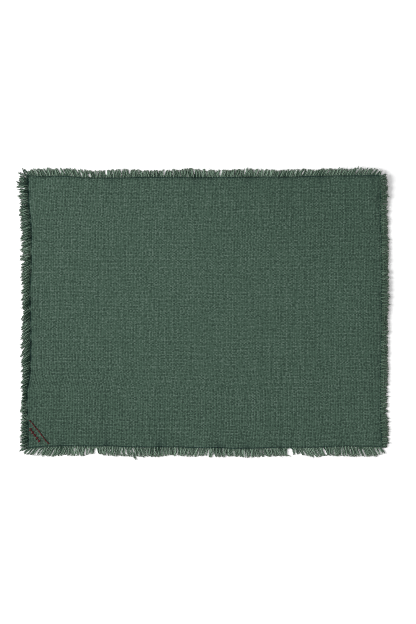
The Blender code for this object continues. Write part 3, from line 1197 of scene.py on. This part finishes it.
def make_fringe(side, mat):
    key = {"left": 11, "right": 23, "top": 37, "bottom": 59}[side]
    r = np.random.default_rng(key)
    across = side in ("left", "right")
    s = PICK_AT if across else END_AT
    thick = (PICK_THICK if across else END_THICK)[
        :, -1 if side in ("right", "top") else 0
    ]
    along0, edge = edge_at(side, s)
    n = len(s)
    pitch = np.ptp(along0) / (n - 1)
    radius, spread, stand, loose, ragged, sway, crimp, *tones = LOOK[side]
    tone, low_painted_shade, differ, change, dark, shade_reach, crimp_shade, deep = tones
    # Every other yarn lies higher and is painted paler, the lower ones painted darker: painted light and shade.
    # Some neighbours cling together.
    bunch = np.cumsum(r.uniform(size=n) < 0.72)
    level = np.where(bunch % 2 == 0, 1.0, -1.0) * r.uniform(0.4, 1.6, n)
    reach = np.abs(TIP[side](along0) - edge) + FURTHER[side]
    reach = reach + ragged * (0.9 * r.standard_normal(n) + 0.6 * level + 1.0)
    lean = LEAN[side](along0) + sway * r.standard_normal(n)
    if across:
        lean = lean + sway * wander(r, 1, n, 7)[0]
    for at, more, tilt in STRAYS[side]:
        k = int(np.argmin(np.abs(along0 - at)))
        reach[k] = np.abs(TIP[side](at) - edge[k]) + more
        lean[k] = tilt
    # In the widest gaps a yarn or two has broken off short.
    for middle, half, *_ in GAPS[side]:
        if half > 1.9:
            reach = np.where(np.abs(along0 - middle) < 0.45 * half, 1.6, reach)
    reach = np.maximum(reach, 1.5)

    middles = np.bincount(bunch, along0)[bunch] / np.bincount(bunch)[bunch]
    middles = along0 + np.clip(middles - along0, -2.4, 2.4)
    tint = 0.26 * r.standard_normal(n) + differ * level + change * wander(r, 1, n, 5)[0]
    tint = np.clip(tint, -1.6, 1.6) + tone
    bend = 0.55 * loose * r.uniform(0.3, 1.5, n)
    wave = r.uniform(6.5, 12.0, n)
    phase = r.uniform(0, 2 * math.pi, n)
    rest = np.clip(0.45 + 0.35 * np.abs(r.standard_normal(n)), 0, 1.6)
    hard = pull(side, along0)
    gathered = np.clip(hard - 1.0, 0, 0.7)
    kept = crimp * r.uniform(0.6, 1.4, n)
    turned = r.uniform(0, 2 * math.pi, n)
    crest = 3.3 * r.uniform(0.8, 1.25, n)  # mm from crest to crest
    rise = stand * r.uniform(0.2, 1.5, n) * (1.3 - 0.6 * hard) + 0.25 * level
    root_z = 0.80 + np.where(np.arange(n) % 2 == 0, 0.20, -0.20)
    spin = r.uniform(0, 2 * math.pi, n)
    size = 0.60 + 0.40 * thick + 0.06 * r.standard_normal(n) + 0.12 * level
    # They lie closer together where they slant.
    size = np.clip(size, 0.75, 1.3) / np.hypot(1, lean / 7.0)

    def line(out, k, cling=0.3):
        """The middle lines of yarns k at distances out, (yarns, points)."""
        t = np.clip(out / reach[k, None], 0, 1.2)
        along = (
            along0[k, None]
            + lean[k, None] * np.sign(out) * (np.abs(out) / 8.0) ** 1.15
            + bend[k, None]
            * np.sin(2 * math.pi * out / wave[k, None] + phase[k, None])
            * ease(out / 3.0)
            + cling * (middles - along0)[k, None] * ease(out / 3.5)
        )
        curl = 2 * math.pi * out / crest[k, None] + turned[k, None]
        along = along + kept[k, None] * np.sin(curl) * ease(out / 1.5)
        z = mix(root_z[k, None], rest[k, None], ease(out / 5.0))
        z = z + 0.8 * kept[k, None] * np.cos(curl) * ease(out / 1.5)
        z = z + rise[k, None] * np.sin(math.pi * np.clip(out / 6.5, 0, 1))
        return along, z, t, np.cos(curl)

    def painted_shade(out, k, share, curl, more):
        # Painted shade: darker by the stitching, where the yarns are pressed together, in the troughs of their
        # crimp and where they lie low.
        near = dark * hard[k, None] * (1 - ease((out + 0.5) / shade_reach))
        near = near + 0.5 * gathered[k, None] * (1 - ease(out / 10.0))
        low = crimp_shade * np.clip(0.3 - curl, 0, 1.3)
        return np.clip(near * share + low + more, 0, 0.95)

    def bundle(k, out, along, z, t, fat, sides, tint, share, curl, more=0.0):
        along = part_strands(side, along, out)
        points = place(side, along, edge[k, None], out, z)
        up = lift(points[..., 0], points[..., 1]) * (1 - TIP_DROOP * np.clip(t, 0, 1))
        points[..., 2] = np.maximum(z, fat * 0.95 + 0.02) + up
        values = {"tint": tint, "along": np.clip(t, 0, 1), "painted_shade": painted_shade(out, k, share, curl, more)}
        return tubes(points, fat, sides, values)

    # Painted shade on the yarns that lie low.
    sunk = deep * np.clip(-level, 0, 1.1)[:, None]
    parts = []
    every = np.arange(n)
    threads, points, unlike, shorter = THREADS[side]
    tau = np.linspace(0, 1, points)
    for thread in range(threads):
        cut = r.uniform(0, shorter, n)
        out = -0.7 + (reach * (1 - cut) + 0.7)[:, None] * tau
        along, z, t, curl = line(out, every)
        turn = (
            spin[:, None]
            + 2 * math.pi * thread / threads
            + 2 * math.pi * out / 7.5 * (1 - 0.35 * t)
        )
        gap = size[:, None] * spread * (0.90 + 0.70 * loose * t**2)
        along = along + gap * np.cos(turn) + 0.30 * loose * t * wander(r, n, points, 3)
        z = z + 0.70 * gap * np.sin(turn)
        fat = radius * size[:, None] * (1 - 0.5 * ease((tau - 0.75) / 0.25))
        fat = fat * (1 + 0.12 * wander(r, n, points, 1.5))
        shade = tint + np.clip(unlike * r.standard_normal(n), -0.9, 0.9)
        share = r.uniform(0.6, 1.2, (n, 1)) - 0.45 * level[:, None]
        parts.append(bundle(every, out, along, z, t, fat, 5, shade, share, curl, sunk))

    # Threads that have come loose fill in between, lower down, with painted shade.
    k = np.repeat(every, UNDER[side])
    m = len(k)
    tau = np.linspace(0, 1, 7)
    out = -0.5 + (reach[k] * r.uniform(0.75, 1.0, m) + 0.5)[:, None] * tau
    along, z, t, curl = line(out, k, 0.1)
    slot = (np.tile(np.arange(UNDER[side]), n)[:, None] + r.uniform(-0.1, 1.1, (m, 1)))
    off = (2 * slot / UNDER[side] - 1) * 0.80 * pitch
    along = along + off * (0.8 + 0.4 * t) + 0.30 * loose * wander(r, m, 7, 3)
    z = 0.35 + 0.35 * r.uniform(size=(m, 1)) + 0.3 * (1 - ease(out / 3.0))
    fat = 0.30 * r.uniform(0.75, 1.2, (m, 1)) * (1 - 0.5 * ease((tau - 0.7) / 0.3))
    shade = tint[k] - tone + low_painted_shade + 0.22 * r.standard_normal(m)
    share = r.uniform(0.6, 1.3, (m, 1))
    parts.append(bundle(k, out, along, z, t, fat, 4, shade, share, curl, deep))

    # Fibres that stick out.
    k = r.integers(n, size=4 * n)
    m = len(k)
    start = (1 - 0.75 * r.uniform(0, 1, m) ** 1.4) * reach[k]
    grow = np.linspace(0, 1, 5)
    length = r.uniform(0.8, 2.6, m)[:, None]
    aim = r.uniform(-1.2, 1.2, m)[:, None]
    out = start[:, None] + length * grow * np.cos(aim)
    along, z, t, curl = line(np.repeat(start[:, None], 5, axis=1), k)
    along = along + length * (np.sin(aim) * grow + 0.25 * r.standard_normal((m, 1)) * grow**2)
    z = z + r.uniform(-0.2, 0.9, (m, 1)) * grow * length * 0.5
    fat = r.uniform(0.06, 0.12, (m, 1)) * (1 - 0.55 * grow)
    parts.append(bundle(k, out, along, z, t, fat, 3, tint[k] + 0.15, 1.0, curl))
    if side == "right":
        parts.append(loose_yarn(r))
    return build(f"yarn_ends_{side}", parts, mat)


# ---------------------------------------------------------------- stitching

STITCH_LENGTH = 3.0
# How hard they have to pull to show above the cloth's fuzz, and how far they
# wander off their line.
STITCHING = {
    "left": (0.62, 0.10),
    "right": (0.80, 0.28),
    "bottom": (0.62, 0.10),
    "top": (0.62, 0.10),
}


def stitch_paths(a, b, high, points=7):
    """Each stitch from a to b, bedded in the cloth at both ends."""
    t = np.linspace(0, 1, points)[None, :, None]
    p = a[:, None] * (1 - t) + b[:, None] * t
    bow = np.sin(math.pi * t[..., 0])
    p[..., 2] += high[:, None] * (1.35 * bow**0.6 - 0.95)
    return p


def make_seam(mat):
    parts = []
    r = np.random.default_rng(5)
    for side in SIDES:
        across = side in ("left", "right")
        rows = SIDES[side]
        span = 333.0 if across else 435.0
        count = round(span / STITCH_LENGTH)
        s = np.linspace(0, 1, count + 1)
        inset = SEAM_ALLOWANCE / span
        s = inset + s * (1 - 2 * inset)
        s[1:-1] += r.uniform(-0.12, 0.12, count - 1) / count
        along, edge = edge_at(side, s)
        shows, wanders = STITCHING[side]
        into = SEAM_ALLOWANCE + wanders * r.standard_normal(count + 1)
        into[[0, -1]] = SEAM_ALLOWANCE
        points = place(side, along, edge, -into, 0 * along)
        x, y = points[:, 0], points[:, 1]
        hard = pull(side, along)
        deep = GROOVES[side][0] * (0.5 + 0.5 * hard)
        # Where they pull little, the cloth's fuzz hides them.
        sunk = 1.1 * np.clip(shows - hard, 0, 1)
        points[:, 2] = lift(x, y) + CLOTH_THICK - deep + 0.16 - sunk
        gap = 0.10 * (points[1:] - points[:-1])
        paths = stitch_paths(
            points[:-1] + gap, points[1:] - gap, 0.30 + 0 * deep[1:]
        )
        fat = 0.36 * (0.9 + 0.2 * r.uniform(size=(count, 1))) * np.ones((1, 7))
        fat[:, [0, -1]] *= 0.6
        tint = 0.3 * r.standard_normal(count) + 0.6 - 0.8 * hard[1:]
        none = 0 * tint
        parts.append(tubes(paths, fat, 6, {"tint": tint, "along": none, "painted_shade": none}))
        # The same stitches from below.
        points[:, 2] = lift(x, y) + 0.24
        low = stitch_paths(points[:-1] + gap, points[1:] - gap, np.full(count, -0.1), 5)
        parts.append(
            tubes(
                low,
                0.24 * np.ones((count, 5)),
                5,
                {"tint": tint, "along": none, "painted_shade": none},
            )
        )
    return build("edge_stitches", parts, mat)


# Plain hand stitches across the corner: each from and to, x and y.
LINE = ((-214.0, -132.0), (-190.5, -162.2), 9, 0.86)
CROSSES = ((-214.2, -142.5), (-200.8, -160.2), 5, 2.7)


def cloth_top(x, y):
    u = (x - BASE_X[0]) / (BASE_X[1] - BASE_X[0])
    v = (y - BASE_Y[0]) / (BASE_Y[1] - BASE_Y[0])
    return surface(x, y, np.clip(u, 0, 1), np.clip(v, 0, 1))[0]


def make_corner(mat):
    r = np.random.default_rng(8)
    (x0, y0), (x1, y1), count, share = LINE
    a, b = [], []
    for i in range(count):
        t0 = (i + 0.5 - share / 2) / count
        t1 = (i + 0.5 + share / 2) / count
        a.append((mix(x0, x1, t0), mix(y0, y1, t0)))
        b.append((mix(x0, x1, t1), mix(y0, y1, t1)))
    (x0, y0), (x1, y1), count, size = CROSSES
    for i in range(count):
        t = (i + 0.5) / count
        cx, cy = mix(x0, x1, t), mix(y0, y1, t)
        a += [(cx - size / 2, cy - size * 0.55), (cx - size / 2, cy + size * 0.55)]
        b += [(cx + size / 2, cy + size * 0.55), (cx + size / 2, cy - size * 0.55)]
    a = np.array(a) + 0.2 * r.standard_normal((len(a), 2))
    b = np.array(b) + 0.2 * r.standard_normal((len(b), 2))
    a = np.column_stack([a, cloth_top(a[:, 0], a[:, 1]) + 0.12])
    b = np.column_stack([b, cloth_top(b[:, 0], b[:, 1]) + 0.12])
    paths = stitch_paths(a, b, np.full(len(a), 0.50), 12)
    ply = []
    for k in range(2):
        t = np.linspace(0, 1, 12)
        turn = 2 * math.pi * (t * 3 + k / 2)[None] + r.uniform(0, 6, (len(a), 1))
        d = b - a
        d = d / np.linalg.norm(d, axis=1, keepdims=True)
        side = np.stack([-d[:, 1], d[:, 0], 0 * d[:, 0]], axis=-1)
        p = paths + 0.28 * np.cos(turn)[..., None] * side[:, None]
        p[..., 2] += 0.18 * np.sin(turn)
        fat = 0.46 * np.ones((len(a), 12))
        fat[:, [0, -1]] *= 0.6
        tint = 0.35 * r.standard_normal(len(a))
        none = 0 * tint
        ply.append(tubes(p, fat, 7, {"tint": tint, "along": none, "painted_shade": none}))
    return build("corner_stitches", ply, mat)


# ------------------------------------------------------------------ assembly

cloth_mat = weave_material()
ends_mat = yarn_material(
    "frayed_cotton", YARN_DARK, (0.046, 0.089, 0.060), (0.133, 0.194, 0.147), 0.2, 0.24
)
seam_mat = yarn_material(
    "dark_thread", (0.002, 0.012, 0.010), (0.006, 0.026, 0.021), (0.016, 0.050, 0.040), 0.5, 0.20
)
red_mat = yarn_material(
    "red_thread", (0.030, 0.002, 0.004), (0.070, 0.005, 0.008), (0.125, 0.014, 0.017), 0.6, 0.22
)

cloth = make_cloth(cloth_mat)
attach(cloth, "root")
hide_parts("cloth")

for side in SIDES:
    ends = make_fringe(side, ends_mat)
    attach(ends, "root")
    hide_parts(f"fringe_{side}")

seam = make_seam(seam_mat)
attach(seam, "root")
corner = make_corner(red_mat)
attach(corner, "root")

# --------------------------------------------------------------------- stage

floor_mesh = bpy.data.meshes.new("floor")
half = 12.0
floor_mesh.from_pydata(
    [(-half, -half, -5e-5), (half, -half, -5e-5), (half, half, -5e-5), (-half, half, -5e-5)],
    [],
    [(0, 1, 2, 3)],
)
floor = bpy.data.objects.new("floor", floor_mesh)
bpy.context.scene.collection.objects.link(floor)
paper = bpy.data.materials.new("white_paper")
paper.use_nodes = True
shader = paper.node_tree.nodes["Principled BSDF"]
shader.inputs["Base Color"].default_value = (0.90, 0.90, 0.90, 1.0)
shader.inputs["Roughness"].default_value = 0.9
shader.inputs["Specular IOR Level"].default_value = 0.1
floor_mesh.materials.append(paper)

# A wide soft light low on the left, and even pale light from all round.
KEY_ELEVATION = 28.0
KEY_DISTANCE = 4.5
key = bpy.data.lights.new("key", "AREA")
key.shape = "SQUARE"
key.size = 1.7
key.energy = 275.0
key_ob = bpy.data.objects.new("key", key)
e = math.radians(KEY_ELEVATION)
key_ob.location = (-KEY_DISTANCE * math.cos(e), 0.35, KEY_DISTANCE * math.sin(e))
key_ob.rotation_euler = (0.0, -(math.pi / 2 - e), 0.0)
bpy.context.scene.collection.objects.link(key_ob)

world = bpy.data.worlds.new("studio")
world.use_nodes = True
world.node_tree.nodes["Background"].inputs[0].default_value = (1.0, 1.0, 1.0, 1.0)
world.node_tree.nodes["Background"].inputs[1].default_value = 0.70
bpy.context.scene.world = world

# Straight above. One pixel of the 416 x 624 frame is 1.2305 mm on the mat.
VIEW_HEIGHT = 624 * 1.2305 * MM
camera = bpy.data.cameras.new("camera")
camera.lens = 100.0
camera.sensor_width = 36.0
camera_ob = bpy.data.objects.new("camera", camera)
camera_ob.location = (
    (5.54 + SHIFT_X) * MM,
    (0.43 + SHIFT_Y) * MM,
    VIEW_HEIGHT / 2 / (18.0 / 100.0) + CLOTH_THICK * MM,
)
bpy.context.scene.collection.objects.link(camera_ob)
bpy.context.scene.camera = camera_ob

bpy.context.scene.view_settings.view_transform = "Standard"
bpy.context.scene.view_settings.look = "None"
bpy.context.scene.cycles.filter_width = 0.85  # as crisp as the photo
bpy.context.scene.cycles.denoising_prefilter = "NONE"  # which would blur the yarns
